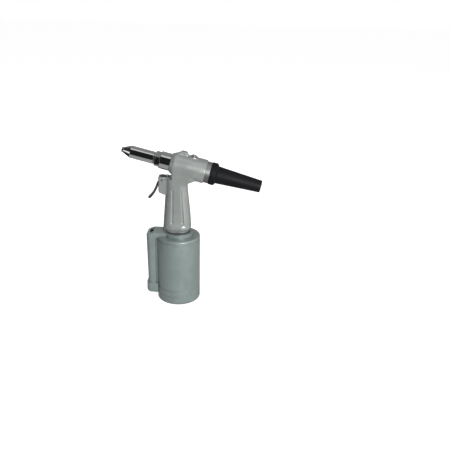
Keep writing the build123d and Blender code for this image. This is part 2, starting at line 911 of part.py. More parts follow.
def front_rod_seal():
    high = front_bore_end - retainer_length
    return head * tube(
        front_rod_radius + run_gap, front_rod_radius + rod_seal_wall - fit_gap, high - rod_seal_length, high
    )


def seal_retainer():
    low = front_bore_end - retainer_length
    return head * tube(
        front_rod_radius + free_gap, front_rod_radius + rod_seal_wall - fit_gap, low, front_bore_end
    )


def front_sleeve():
    thread = sleeve_thread_radius - fit_gap
    bore_front = sleeve_front + case_front_gap
    return head * turned(
        (nose_body_radius + fit_gap, cone_front),
        (nose_rim_radius, cone_front),
        (nose_sleeve_radius, sleeve_front),
        (nose_sleeve_radius, sleeve_shoulder - 0.6),
        (nose_sleeve_radius - 0.6, sleeve_shoulder),
        (thread, sleeve_shoulder),
        (thread, adapter_front + sleeve_thread_length),
        (nose_sleeve_bore, adapter_front + sleeve_thread_length),
        (nose_sleeve_bore, bore_front),
        (nose_body_radius + fit_gap, bore_front),
    )


def sleeve_lock_nut():
    nut = hexagon(nose_nut_width, nut_front, adapter_front)
    crown = turned(
        (0, nut_front),
        (nose_nut_width / 2 - 0.3, nut_front),
        (nose_nut_width / 2 + 2.6, nut_front + 1.7),
        (nose_nut_width / 2 + 2.6, adapter_front - 1.7),
        (nose_nut_width / 2 - 0.3, adapter_front),
        (0, adapter_front),
    )
    return head * ((nut & crown) - bar(sleeve_thread_radius, nut_front, adapter_front))


def nosepiece():
    body_rear = sleeve_front + case_front_gap - 1.5
    tail_start = body_rear + nose_body_radius - nose_tail_radius
    tail_end = jaw_front - free_gap
    return head * turned(
        (mandrel_bore_radius, tip),
        (nose_rim_radius - 1.2, tip),
        (nose_rim_radius - 0.2, tip + 0.7),
        (nose_rim_radius, tip + 1.4),
        (nose_rim_radius, cone_front),
        (nose_body_radius, cone_front),
        (nose_body_radius, body_rear),
        (nose_tail_radius, tail_start),
        (nose_tail_radius, tail_end),
        (mandrel_bore_radius, tail_end),
    )


# Hollow nose of the pulling head, with the cone that closes the jaws
def jaw_case():
    return head * turned(
        (case_mouth_radius, case_front),
        (case_radius - 1.5, case_front),
        (case_radius, case_front + 1.5),
        (case_radius, case_rear),
        (case_bore, case_rear),
        (case_bore, case_bore_start),
    )


# Jaws are drawn closed on the cone, then moved back and out to their rest place
def jaw(number):
    closed_front = jaw_front - jaw_travel
    closed_rear = jaw_rear - jaw_travel
    mouth = case_mouth_radius - jaw_fit
    front_radius = mouth + (closed_front - case_front) * cone_slope
    rear_radius = mouth + (closed_rear - case_front) * cone_slope
    teeth = []
    for tooth in range(tooth_count):
        root = closed_front + 1.2 + tooth * tooth_pitch
        teeth.append((jaw_grip_radius + tooth_depth, root))
        teeth.append((jaw_grip_radius, root + tooth_pitch * 0.7))
    outline = [
        *teeth,
        (jaw_grip_radius + 0.3, closed_rear - 2.2),
        (pusher_tail_radius + 0.4, closed_rear),
        (rear_radius, closed_rear),
        (front_radius, closed_front),
        (jaw_grip_radius + tooth_depth + 0.2, closed_front),
    ]
    face = make_face(Plane.XZ * Polyline(*outline, close=True))
    sector = Rot(0, 0, -jaw_sector / 2) * revolve(face, Axis.Z, jaw_sector)
    spread = Pos(jaw_travel * cone_slope, 0, jaw_travel)
    return head * (Rot(0, 0, number * 360 / jaw_count) * (spread * sector))


def jaw_pusher():
    forward = pusher_front - jaw_travel
    flange_radius = case_mouth_radius + (forward - case_front) * cone_slope - 2 * fit_gap
    return head * turned(
        (pusher_bore_radius, pusher_front - 1.0),
        (pusher_bore_radius + 0.5, pusher_front - 1.0),
        (pusher_tail_radius - 0.6, pusher_front),
        (flange_radius, pusher_front),
        (flange_radius, pusher_shoulder),
        (pusher_tail_radius, pusher_shoulder),
        (pusher_tail_radius, pusher_shoulder + pusher_tail),
        (pusher_bore_radius, pusher_shoulder + pusher_tail),
    )


def jaw_spring():
    radius = (pusher_tail_radius + coupler_spring_radius) / 2
    return head * coil(radius, jaw_spring_wire, 4, pusher_shoulder, spring_seat)


def jaw_coupler():
    return head * turned(
        (coupler_spring_radius, coupler_front),
        (case_bore - fit_gap, coupler_front),
        (case_bore - fit_gap, case_rear),
        (case_radius, case_rear),
        (case_radius, coupler_rear - 1),
        (case_radius - 1, coupler_rear),
        (rod_thread_radius + fit_gap, coupler_rear),
        (rod_thread_radius + fit_gap, coupler_rear - coupler_thread_length),
        (rod_bore_radius, coupler_rear - coupler_thread_length),
        (rod_bore_radius, spring_seat),
        (coupler_spring_radius, spring_seat),
    )


def hydraulic_piston():
    rim = head_bore_radius - run_gap
    groove_low = oil_piston_front + (oil_piston_length - oil_seal_length) / 2
    return head * turned(
        (rod_bore_radius, coupler_rear - coupler_thread_length + free_gap),
        (rod_thread_radius, coupler_rear - coupler_thread_length + free_gap),
        (rod_thread_radius, coupler_rear),
        (front_rod_radius, coupler_rear),
        (front_rod_radius, oil_piston_front),
        (rim, oil_piston_front),
        (rim, groove_low),
        (rim - oil_seal_depth, groove_low),
        (rim - oil_seal_depth, groove_low + oil_seal_length),
        (rim, groove_low + oil_seal_length),
        (rim, oil_piston_rear),
        (rear_rod_radius, oil_piston_rear),
        (rear_rod_radius, rear_rod_end - 0.8),
        (rear_rod_radius - 0.8, rear_rod_end),
        (rod_bore_radius, rear_rod_end),
    )


def hydraulic_piston_seal():
    rim = head_bore_radius - run_gap
    low = oil_piston_front + (oil_piston_length - oil_seal_length) / 2
    return head * tube(rim - oil_seal_depth + fit_gap, rim, low, low + oil_seal_length)


def piston_return_spring():
    radius = rear_rod_radius + (head_bore_radius - rear_rod_radius) / 2
    return head * coil(radius, return_wire, 4, oil_piston_rear, rear_bore_start)


def cap_ring_station():
    return rear_bore_start + rear_bore_length / 2


def collector_ring_station():
    return cap_rear + cap_spigot_length / 2


def rear_end_cap():
    bore = rear_rod_radius + run_gap + bush_wall
    cap = turned(
        (bore, rear_bore_start),
        (rear_bore_radius - fit_gap, rear_bore_start),
        (rear_bore_radius - fit_gap, housing_rear),
        (cap_radius, housing_rear),
        (cap_radius, cap_rear - cap_edge),
        (cap_radius - cap_edge, cap_rear),
        (cap_spigot_radius, cap_rear),
        (cap_spigot_radius, cap_spigot_end - 0.8),
        (cap_spigot_radius - 0.8, cap_spigot_end),
        (bore - bush_wall + free_gap, cap_spigot_end),
        (bore - bush_wall + free_gap, rear_bore_start + bush_length),
        (bore, rear_bore_start + bush_length),
    )
    half = ring_groove_width / 2
    for station, rim in ((cap_ring_station(), rear_bore_radius), (collector_ring_station(), cap_spigot_radius)):
        cap -= tube(rim - 2 * ring_radius - 0.1, rim + 1, station - half, station + half)
    return head * cap


def rear_rod_bush():
    inner = rear_rod_radius + run_gap
    return head * tube(inner, inner + bush_wall - fit_gap, rear_bore_start, rear_bore_start + bush_length)


def end_cap_o_ring():
    major = rear_bore_radius - ring_radius - fit_gap
    return head * (Pos(0, 0, cap_ring_station()) * Torus(major, ring_radius))


def collector_o_ring():
    major = cap_spigot_radius - ring_radius
    return head * (Pos(0, 0, collector_ring_station()) * Torus(major, ring_radius))


# Tapered bottle that catches the spent stems, pushed over the end cap's spigot
def mandrel_collector():
    mouth = cap_spigot_radius + 2 * run_gap
    tube_start = collar_rear + collector_step
    inner_end = collector_end - collector_wall
    body = turned(
        (mouth, cap_rear),
        (collar_radius, cap_rear),
        (collar_radius, collar_rear),
        (collector_big_radius, tube_start),
        (collector_small_radius, collector_end),
        (0, collector_end),
        (0, inner_end),
        (collector_small_radius - collector_wall, inner_end),
        (collector_big_radius - collector_wall, tube_start),
        (mouth, collar_rear),
    )
    rims = [e for e in body.edges().filter_by(GeomType.CIRCLE) if abs(e.radius - collar_radius) < 0.01]
    body = fillet(rims, collar_round)
    last = body.edges().filter_by(GeomType.CIRCLE).sort_by(Axis.Z)[-1]
    return head * fillet(last, collector_end_round)


def oil_filler_screw():
    low = filler_boss_top + washer_height
    screw = upright(filler_hole_radius - fit_gap, low - filler_screw_length, low, filler_station)
    screw += upright(filler_head_radius, low, low + filler_head_height, filler_station)
    socket_low = low + filler_head_height - filler_socket_depth
    socket = Pos(0, 0, filler_station) * Rot(0, 90, 0) * hexagon(filler_socket_width, socket_low, socket_low + 5)
    return head * (screw - socket)


def filler_sealing_washer():
    washer = tube(filler_hole_radius, washer_radius, filler_boss_top, filler_boss_top + washer_height)
    return head * (Pos(0, 0, filler_station) * Rot(0, 90, 0) * washer)


makers = [
    air_cylinder, pilot_way_plug, base_cap, piston_bumper, air_piston, air_piston_seal, ram, ram_nut, ram_gland, ram_seal,
    clamp_nut, foot_gasket, valve_sleeve, valve_spool, spool_spring, valve_plug, chest_cover, exhaust_muffler,
    chest_cover_screws, inlet_block, inlet_block_screws, drilling_plugs, handle_housing, trigger_lever,
    trigger_pin, pull_rod, pilot_valve, pilot_spring, pilot_cap, frame_adapter, front_rod_seal, seal_retainer,
    front_sleeve, sleeve_lock_nut, nosepiece, jaw_case, jaw_pusher, jaw_spring, jaw_coupler, hydraulic_piston,
    hydraulic_piston_seal, piston_return_spring, rear_end_cap, rear_rod_bush, end_cap_o_ring,
    collector_o_ring, mandrel_collector, oil_filler_screw, filler_sealing_washer,
]

os.makedirs("parts", exist_ok=True)
for make in makers:
    export_step(make(), f"parts/{make.__name__}.step")
for number in range(jaw_count):
    export_step(jaw(number), f"parts/jaw_{number + 1}.step")

arm_angle = radians(lever_swing)
arm_lift = arm_length * sin(arm_angle) + arm_rise * (cos(arm_angle) - 1)
print("oil stroke", round(oil_stroke, 3), "rod lift", round(arm_lift, 3), "rod lean", round(degrees(rod_lean), 3))
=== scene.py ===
import math

import bmesh
import bpy
from mathutils import Matrix, Vector
from mathutils.bvhtree import BVHTree
from mathutils.geometry import barycentric_transform
from mathutils.kdtree import KDTree


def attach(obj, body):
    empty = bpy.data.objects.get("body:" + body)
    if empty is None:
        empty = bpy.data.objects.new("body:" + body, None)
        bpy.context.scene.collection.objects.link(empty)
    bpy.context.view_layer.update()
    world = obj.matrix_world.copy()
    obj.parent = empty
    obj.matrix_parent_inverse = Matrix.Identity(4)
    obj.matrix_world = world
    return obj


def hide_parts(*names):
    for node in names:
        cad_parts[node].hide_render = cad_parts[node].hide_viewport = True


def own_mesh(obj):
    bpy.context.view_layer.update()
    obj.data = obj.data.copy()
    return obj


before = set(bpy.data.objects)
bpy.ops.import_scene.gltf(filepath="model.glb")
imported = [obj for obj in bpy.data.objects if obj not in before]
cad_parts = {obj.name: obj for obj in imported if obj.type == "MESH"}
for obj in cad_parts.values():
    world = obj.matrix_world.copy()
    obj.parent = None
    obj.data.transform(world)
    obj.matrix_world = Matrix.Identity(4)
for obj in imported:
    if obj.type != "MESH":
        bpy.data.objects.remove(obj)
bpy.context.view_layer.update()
print("frame loaded,", len(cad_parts), "parts")

# the head's own axes: X up, Y to the tool's left, Z to the rear; sizes in metres
headHeight = 0.2868
headTilt = math.radians(13.6)
headUp = Vector((math.sin(headTilt), 0, math.cos(headTilt)))
headBack = Vector((math.cos(headTilt), 0, -math.sin(headTilt)))
headMatrix = Matrix(
    (
        (headUp.x, 0, headBack.x, 0),
        (0, -1, 0, 0),
        (headUp.z, 0, headBack.z, headHeight),
        (0, 0, 0, 1),
    )
)
headStart = Vector((0, 0, headHeight))
headTurn = (0, math.pi / 2 + headTilt, 0)

cameraView = {
    "lens": 51.72,
    "target": (0.09383, 0, 0.16367),
    "distance": 1.2946,
    "elevation": 22.414,
    "azimuth": 3.196,
    "roll": 1.157,
    "sensor": 36,
    "near": 0.05,
    "far": 30,
}


# the one way that this script puts an object in the scene
def addObject(name, data):
    thing = bpy.data.objects.new(name, data)
    bpy.context.scene.collection.objects.link(thing)
    return thing


def placeCamera(view):
    elevation = math.radians(view["elevation"])
    azimuth = math.radians(view["azimuth"])
    roll = math.radians(view["roll"])
    back = Vector(
        (
            math.sin(azimuth) * math.cos(elevation),
            -math.cos(azimuth) * math.cos(elevation),
            math.sin(elevation),
        )
    )
    right = (-back).cross(Vector((0, 0, 1))).normalized()
    up = right.cross(-back)
    across = math.cos(roll) * right + math.sin(roll) * up
    upright = math.cos(roll) * up - math.sin(roll) * right
    turn = Matrix((across, upright, back)).transposed().to_4x4()
    place = Matrix.Translation(Vector(view["target"]) + back * view["distance"])
    data = bpy.data.cameras.new("photoCamera")
    data.lens = view["lens"]
    data.sensor_width = view["sensor"]
    data.clip_start = view["near"]
    data.clip_end = view["far"]
    camera = addObject("photoCamera", data)
    camera.matrix_world = place @ turn
    bpy.context.scene.camera = camera


placeCamera(cameraView)
bpy.context.scene.view_settings.view_transform = "Standard"
print("camera placed")


# small helpers for node trees
def addNode(tree, kind, **values):
    node = tree.nodes.new(kind)
    for key, value in values.items():
        if hasattr(node, key):
            setattr(node, key, value)
        else:
            node.inputs[key.replace("_", " ")].default_value = value
    return node


def link(tree, source, target):
    tree.links.new(source, target)


def mathNode(tree, operation, first, second=None, third=None, clamp=False):
    node = tree.nodes.new("ShaderNodeMath")
    node.operation = operation
    node.use_clamp = clamp
    for socket, value in zip(node.inputs, (first, second, third)):
        if value is None:
            continue
        if isinstance(value, (int, float)):
            socket.default_value = value
        else:
            tree.links.new(value, socket)
    return node.outputs[0]


def rampNode(tree, value, low, high, lowOut=0.0, highOut=1.0):
    node = tree.nodes.new("ShaderNodeMapRange")
    node.interpolation_type = "SMOOTHSTEP"
    node.inputs["From Min"].default_value = low
    node.inputs["From Max"].default_value = high
    node.inputs["To Min"].default_value = lowOut
    node.inputs["To Max"].default_value = highOut
    tree.links.new(value, node.inputs["Value"])
    return node.outputs["Result"]


# a Mix node keeps its colour sockets after those for numbers and vectors
def mixColour(tree, share, first, second):
    node = tree.nodes.new("ShaderNodeMix")
    node.data_type = "RGBA"
    tree.links.new(share, node.inputs[0])
    for socket, value in ((node.inputs[6], first), (node.inputs[7], second)):
        if isinstance(value, tuple):
            socket.default_value = (*value, 1)
        else:
            tree.links.new(value, socket)
    return node.outputs[2]


def newGroup(name, inputs, outputs):
    group = bpy.data.node_groups.new(name, "ShaderNodeTree")
    for label, kind, value in inputs:
        socket = group.interface.new_socket(name=label, in_out="INPUT", socket_type=kind)
        if value is not None:
            socket.default_value = value
    for label, kind in outputs:
        group.interface.new_socket(name=label, in_out="OUTPUT", socket_type=kind)
    return group, group.nodes.new("NodeGroupInput"), group.nodes.new("NodeGroupOutput")


# what the shared effects look like before each material gives its own sizes
effects = {
    "coarseGrain": 0.22,
    "toneScale": 38.0,
    "edgeBend": (0.995, 0.86),
    "rubScale": 420.0,
    "rubPatch": (0.46, 0.6),
    "latheSlant": 0.8,  # lets the marks run on over a flat end
    "wideMarks": 0.06,
    "cornerShade": (0.75, 0.25),
    "dirtAndShadeScale": 160.0,
    "dirtAndShadeThinnest": 0.5,
    "samples": 6,
}


# fine grain of a casting or a moulding: two sizes of noise as one height and one tone
def buildFineGrain():
    group, entry, leave = newGroup(
        "fineGrain",
        [
            ("Vector", "NodeSocketVector", None),
            ("Grain Size", "NodeSocketFloat", 0.0008),
            ("Coarse Share", "NodeSocketFloat", 0.4),
        ],
        [("Height", "NodeSocketFloat"), ("Tone", "NodeSocketFloat")],
    )
    fineScale = mathNode(group, "DIVIDE", 1.0, entry.outputs["Grain Size"])
    fine = addNode(group, "ShaderNodeTexNoise", Detail=3.0, Roughness=0.55)
    coarse = addNode(group, "ShaderNodeTexNoise", Detail=2.0, Roughness=0.5)
    for noise in (fine, coarse):
        link(group, entry.outputs["Vector"], noise.inputs["Vector"])
    link(group, fineScale, fine.inputs["Scale"])
    coarseScale = mathNode(group, "MULTIPLY", fineScale, effects["coarseGrain"])
    link(group, coarseScale, coarse.inputs["Scale"])
    weighted = mathNode(group, "MULTIPLY", coarse.outputs["Fac"], entry.outputs["Coarse Share"])
    link(group, mathNode(group, "ADD", fine.outputs["Fac"], weighted), leave.inputs["Height"])
    scale = effects["toneScale"]
    patch = addNode(group, "ShaderNodeTexNoise", Scale=scale, Detail=3.0, Roughness=0.6)
    link(group, entry.outputs["Vector"], patch.inputs["Vector"])
    link(group, patch.outputs["Fac"], leave.inputs["Tone"])
    return group


# where an edge has been rubbed, and the softened normal of that edge
def buildEdgeRub():
    group, entry, leave = newGroup(
        "edgeRub",
        [
            ("Vector", "NodeSocketVector", None),
            ("Width", "NodeSocketFloat", 0.0006),
            ("Amount", "NodeSocketFloat", 0.5),
        ],
        [("Mask", "NodeSocketFloat"), ("Normal", "NodeSocketVector")],
    )
    bevel = addNode(group, "ShaderNodeBevel", samples=effects["samples"])
    link(group, entry.outputs["Width"], bevel.inputs["Radius"])
    flat = group.nodes.new("ShaderNodeNewGeometry")
    dot = group.nodes.new("ShaderNodeVectorMath")
    dot.operation = "DOT_PRODUCT"
    link(group, bevel.outputs[0], dot.inputs[0])
    link(group, flat.outputs["Normal"], dot.inputs[1])
    bend = rampNode(group, dot.outputs["Value"], *effects["edgeBend"])
    scale = effects["rubScale"]
    noise = addNode(group, "ShaderNodeTexNoise", Scale=scale, Detail=4.0, Roughness=0.65)
    link(group, entry.outputs["Vector"], noise.inputs["Vector"])
    patchy = rampNode(group, noise.outputs["Fac"], *effects["rubPatch"])
    rubbed = mathNode(group, "MULTIPLY", bend, patchy)
    mask = mathNode(group, "MULTIPLY", rubbed, entry.outputs["Amount"], clamp=True)
    link(group, mask, leave.inputs["Mask"])
    link(group, bevel.outputs[0], leave.inputs["Normal"])
    return group


# tool marks of a lathe round the Z axis of the vector that comes in
def buildLatheMarks():
    group, entry, leave = newGroup(
        "latheMarks",
        [("Vector", "NodeSocketVector", None), ("Pitch", "NodeSocketFloat", 0.0003)],
        [("Height", "NodeSocketFloat"), ("Tone", "NodeSocketFloat")],
    )
    parts = group.nodes.new("ShaderNodeSeparateXYZ")
    link(group, entry.outputs["Vector"], parts.inputs[0])
    square = mathNode(
        group,
        "ADD",
        mathNode(group, "MULTIPLY", parts.outputs["X"], parts.outputs["X"]),
        mathNode(group, "MULTIPLY", parts.outputs["Y"], parts.outputs["Y"]),
    )
    radius = mathNode(group, "SQRT", square)
    slant = mathNode(group, "MULTIPLY", radius, effects["latheSlant"])
    along = mathNode(group, "ADD", parts.outputs["Z"], slant)
    turns = mathNode(group, "DIVIDE", along, entry.outputs["Pitch"])
    fine = addNode(group, "ShaderNodeTexNoise", noise_dimensions="1D", Detail=3.0, Roughness=0.6)
    fine.inputs["Scale"].default_value = 1.0
    link(group, turns, fine.inputs["W"])
    wide = addNode(group, "ShaderNodeTexNoise", noise_dimensions="1D", Detail=2.0, Roughness=0.5)
    wide.inputs["Scale"].default_value = effects["wideMarks"]
    link(group, turns, wide.inputs["W"])
    link(group, fine.outputs["Fac"], leave.inputs["Height"])
    link(group, wide.outputs["Fac"], leave.inputs["Tone"])
    return group


# grime that gathers in corners, together with painted shade: darker wherever ambient occlusion
# finds corners, creases and gaps between parts
def buildDirtAndPaintedShade():
    group, entry, leave = newGroup(
        "dirtAndPaintedShade",
        [
            ("Vector", "NodeSocketVector", None),
            ("Reach", "NodeSocketFloat", 0.004),
            ("Amount", "NodeSocketFloat", 0.5),
        ],
        [("Mask", "NodeSocketFloat")],
    )
    hollow = addNode(group, "ShaderNodeAmbientOcclusion", samples=effects["samples"])
    link(group, entry.outputs["Reach"], hollow.inputs["Distance"])
    closed = rampNode(group, hollow.outputs["AO"], *effects["cornerShade"])
    scale = effects["dirtAndShadeScale"]
    noise = addNode(group, "ShaderNodeTexNoise", Scale=scale, Detail=4.0, Roughness=0.6)
    link(group, entry.outputs["Vector"], noise.inputs["Vector"])
    broken = rampNode(group, noise.outputs["Fac"], 0.3, 0.7, effects["dirtAndShadeThinnest"], 1.0)
    share = mathNode(group, "MULTIPLY", closed, broken)
    mask = mathNode(group, "MULTIPLY", share, entry.outputs["Amount"], clamp=True)
    link(group, mask, leave.inputs["Mask"])
    return group


fineGrain = buildFineGrain()
edgeRub = buildEdgeRub()
latheMarks = buildLatheMarks()
dirtAndPaintedShade = buildDirtAndPaintedShade()
print("shared effects built")


def placeGroup(tree, group, vector, **values):
    node = tree.nodes.new("ShaderNodeGroup")
    node.node_tree = group
    for key, value in values.items():
        node.inputs[key.replace("_", " ")].default_value = value
    link(tree, vector, node.inputs["Vector"])
    return node


# where a pattern is read; "head" turns it so that Z runs along the head's axis
def patternVector(tree, axis):
    place = tree.nodes.new("ShaderNodeTexCoord")
    if axis == "plain":
        return place.outputs["Object"]
    mapping = tree.nodes.new("ShaderNodeMapping")
    mapping.vector_type = "TEXTURE"
    mapping.inputs["Location"].default_value = headStart
    mapping.inputs["Rotation"].default_value = headTurn
    link(tree, place.outputs["Object"], mapping.inputs["Vector"])
    return mapping.outputs["Vector"]


def newMaterial(name):
    material = bpy.data.materials.new(name)
    material.use_nodes = True
    tree = material.node_tree
    return material, tree, tree.nodes["Principled BSDF"]


def bumpNode(tree, height, strength, distance, normal=None):
    bump = tree.nodes.new("ShaderNodeBump")
    bump.inputs["Strength"].default_value = strength
    bump.inputs["Distance"].default_value = distance
    link(tree, height, bump.inputs["Height"])
    if normal is not None:
        link(tree, normal, bump.inputs["Normal"])
    return bump.outputs["Normal"]


castPaintLook = {
    "silverPaint": {
        "colour": (0.262, 0.319, 0.306), "bare": (0.52, 0.54, 0.54), "rough": (0.36, 0.46),
        "coat": 0.7, "coatRough": 0.12, "parting": 0.0, "metal": 0.35,
    },
    "handlePaint": {
        "colour": (0.345, 0.37, 0.357), "bare": (0.55, 0.56, 0.56), "rough": (0.36, 0.45),
        "coat": 0.35, "coatRough": 0.24, "parting": 0.8, "metal": 0.42,
    },
}
castPaintSurface = {
    "grainSize": 0.0011,
    "coarseShare": 0.8,
    "peel": 0.12,
    "peelHeight": 0.00025,
    "rubWidth": 0.0007,
    "rubAmount": 0.35,
    # reach wide enough that the painted shade darkens the gap between the chest and the cylinder
    "dirtAndShadeReach": 0.011,
    "dirtAndShadeAmount": 0.75,
    "dirtAndShadeTone": 0.3,
    "flakeScale": 2600.0,
    "flakeShine": (0.9, 1.1),
    "patchShine": (0.95, 1.05),
    "bareMetal": 0.9,
    "partingWidth": (0.0005, 0.0001),
}


# metallic enamel over a casting: flake, orange peel, grime and painted shade in corners and gaps,
# rubbed edges
def makeCastPaint(name, look, surface):
    material, tree, shader = newMaterial(name)
    vector = patternVector(tree, "plain")
    grain = placeGroup(
        tree,
        fineGrain,
        vector,
        Grain_Size=surface["grainSize"],
        Coarse_Share=surface["coarseShare"],
    )
    width, amount = surface["rubWidth"], surface["rubAmount"]
    rub = placeGroup(tree, edgeRub, vector, Width=width, Amount=amount)
    reach, amount = surface["dirtAndShadeReach"], surface["dirtAndShadeAmount"]
    dirtAndShade = placeGroup(tree, dirtAndPaintedShade, vector, Reach=reach, Amount=amount)
    flake = addNode(tree, "ShaderNodeTexVoronoi", Scale=surface["flakeScale"])
    link(tree, vector, flake.inputs["Vector"])
    sparkle = rampNode(tree, flake.outputs["Color"], 0.0, 1.0, *surface["flakeShine"])
    patch = rampNode(tree, grain.outputs["Tone"], 0.3, 0.7, *surface["patchShine"])
    brightness = mathNode(tree, "MULTIPLY", sparkle, patch)
    shade = addNode(tree, "ShaderNodeHueSaturation")
    shade.inputs["Color"].default_value = (*look["colour"], 1)
    link(tree, brightness, shade.inputs["Value"])
    dark = tuple(surface["dirtAndShadeTone"] * part for part in look["colour"])
    # painted shade with grime: the colour darkens to a third of itself in corners, creases and
    # gaps between parts
    colour = mixColour(tree, dirtAndShade.outputs["Mask"], shade.outputs["Color"], dark)
    peel, height = surface["peel"], surface["peelHeight"]
    normal = bumpNode(tree, grain.outputs["Height"], peel, height, rub.outputs["Normal"])
    if look["parting"]:  # the line where the two halves of the mould met, at Y = 0
        parts = tree.nodes.new("ShaderNodeSeparateXYZ")
        link(tree, vector, parts.inputs[0])
        offset = mathNode(tree, "ABSOLUTE", parts.outputs["Y"])
        seam = rampNode(tree, offset, *surface["partingWidth"])
        line = mathNode(tree, "MULTIPLY", seam, look["parting"])
        colour = mixColour(tree, line, colour, dark)
    colour = mixColour(tree, rub.outputs["Mask"], colour, look["bare"])
    link(tree, colour, shader.inputs["Base Color"])
    rough = rampNode(tree, grain.outputs["Tone"], 0.25, 0.75, *look["rough"])
    link(tree, rough, shader.inputs["Roughness"])
    metal = rampNode(tree, rub.outputs["Mask"], 0.0, 1.0, look["metal"], surface["bareMetal"])
    link(tree, metal, shader.inputs["Metallic"])
    shader.inputs["Coat Weight"].default_value = look["coat"]
    shader.inputs["Coat Roughness"].default_value = look["coatRough"]
    link(tree, normal, shader.inputs["Normal"])
    return material


metalLook = {
    "chromePlate": {
        "axis": "head", "colour": (0.86, 0.87, 0.88), "rough": (0.05, 0.1), "marks": 0.015,
        "pitch": 0.0004,
    },
    "satinCap": {
        "axis": "head", "colour": (0.36, 0.365, 0.355), "rough": (0.4, 0.5), "marks": 0.12,
        "pitch": 0.0003,
    },
    "zincPlate": {
        "axis": "plain", "colour": (0.6, 0.61, 0.6), "rough": (0.26, 0.4), "marks": 0.06,
        "pitch": 0.0003,
    },
    "brassTurned": {
        "axis": "head", "colour": (0.72, 0.53, 0.25), "rough": (0.2, 0.34), "marks": 0.1,
        "pitch": 0.0003,
    },
    "copperRing": {
        "axis": "head", "colour": (0.42, 0.33, 0.28), "rough": (0.35, 0.5), "marks": 0.05,
        "pitch": 0.0003,
    },
    "aluminiumTurned": {
        "axis": "plain", "colour": (0.66, 0.67, 0.68), "rough": (0.24, 0.38), "marks": 0.12,
        "pitch": 0.0003,
    },
    "groundSteel": {
        "axis": "head", "colour": (0.58, 0.59, 0.6), "rough": (0.12, 0.22), "marks": 0.04,
        "pitch": 0.0002,
    },
    "hardenedSteel": {
        "axis": "head", "colour": (0.17, 0.17, 0.18), "rough": (0.3, 0.44), "marks": 0.08,
        "pitch": 0.0003,
    },
    "springWire": {
        "axis": "plain", "colour": (0.3, 0.31, 0.33), "rough": (0.25, 0.4), "marks": 0.05,
        "pitch": 0.0002,
    },
}


metalSurface = {
    "rubWidth": 0.0004,
    "rubAmount": 0.4,
    "dirtAndShadeReach": 0.003,
    "dirtAndShadeAmount": 0.4,
    "dirtAndShadeTone": 0.25,
    "brightTone": 1.12,
    "brightShare": 0.35,
    "smearScale": 70.0,
    "markHeight": 0.0001,
}


# turned and plated metals share one build and differ by the values above
def makeMetal(name, look, surface):
    material, tree, shader = newMaterial(name)
    vector = patternVector(tree, look["axis"])
    marks = placeGroup(tree, latheMarks, vector, Pitch=look["pitch"])
    width, amount = surface["rubWidth"], surface["rubAmount"]
    rub = placeGroup(tree, edgeRub, vector, Width=width, Amount=amount)
    reach, amount = surface["dirtAndShadeReach"], surface["dirtAndShadeAmount"]
    dirtAndShade = placeGroup(tree, dirtAndPaintedShade, vector, Reach=reach, Amount=amount)
    scale = surface["smearScale"]
    smear = addNode(tree, "ShaderNodeTexNoise", Scale=scale, Detail=4.0, Roughness=0.6)
    link(tree, vector, smear.inputs["Vector"])
    bright = tuple(min(1.0, surface["brightTone"] * part) for part in look["colour"])
    dark = tuple(surface["dirtAndShadeTone"] * part for part in look["colour"])
    share = rampNode(tree, marks.outputs["Tone"], 0.2, 0.8, 0.0, surface["brightShare"])
    colour = mixColour(tree, share, look["colour"], bright)
    # painted shade with grime: the colour darkens in corners and recesses
    colour = mixColour(tree, dirtAndShade.outputs["Mask"], colour, dark)
    colour = mixColour(tree, rub.outputs["Mask"], colour, bright)
    link(tree, colour, shader.inputs["Base Color"])
    rough = rampNode(tree, smear.outputs["Fac"], 0.3, 0.7, *look["rough"])
    link(tree, rough, shader.inputs["Roughness"])
    shader.inputs["Metallic"].default_value = 1.0
    strength, height = look["marks"], surface["markHeight"]
    normal = bumpNode(tree, marks.outputs["Height"], strength, height, rub.outputs["Normal"])
    link(tree, normal, shader.inputs["Normal"])
    return material


mouldedLook = {
    "blackBottle": {
        "colour": (0.0065, 0.0068, 0.0085), "worn": (0.035, 0.035, 0.038),
        "rough": (0.46, 0.58), "grainSize": 0.0005, "grain": 0.12, "specular": 0.16,
    },
    "fibreGasket": {
        "colour": (0.07, 0.078, 0.072), "worn": (0.14, 0.15, 0.14), "rough": (0.75, 0.9),
        "grainSize": 0.0004, "grain": 0.3, "specular": 0.2,
    },
    "nitrileRubber": {
        "colour": (0.02, 0.02, 0.02), "worn": (0.07, 0.07, 0.07), "rough": (0.6, 0.75),
        "grainSize": 0.0005, "grain": 0.2, "specular": 0.35,
    },
    "blackOxide": {
        "colour": (0.045, 0.047, 0.052), "worn": (0.35, 0.35, 0.36), "rough": (0.3, 0.42),
        "grainSize": 0.0006, "grain": 0.08, "specular": 0.5,
    },
    "sinteredFoam": {
        "colour": (0.016, 0.016, 0.016), "worn": (0.05, 0.05, 0.05), "rough": (0.85, 0.95),
        "grainSize": 0.0009, "grain": 0.9, "specular": 0.2,
    },
}


mouldedSurface = {
    "coarseShare": 0.3,
    "rubWidth": 0.0005,
    "rubAmount": 0.6,
    "scuffScale": 900.0,
    "scuffStretch": (0.12, 1.0, 0.5),
    "scuffFrom": (0.62, 0.75),
    "scuffShare": 0.25,
    "grainHeight": 0.0002,
    "brightTone": 1.5,
    "brightShare": 0.3,
}


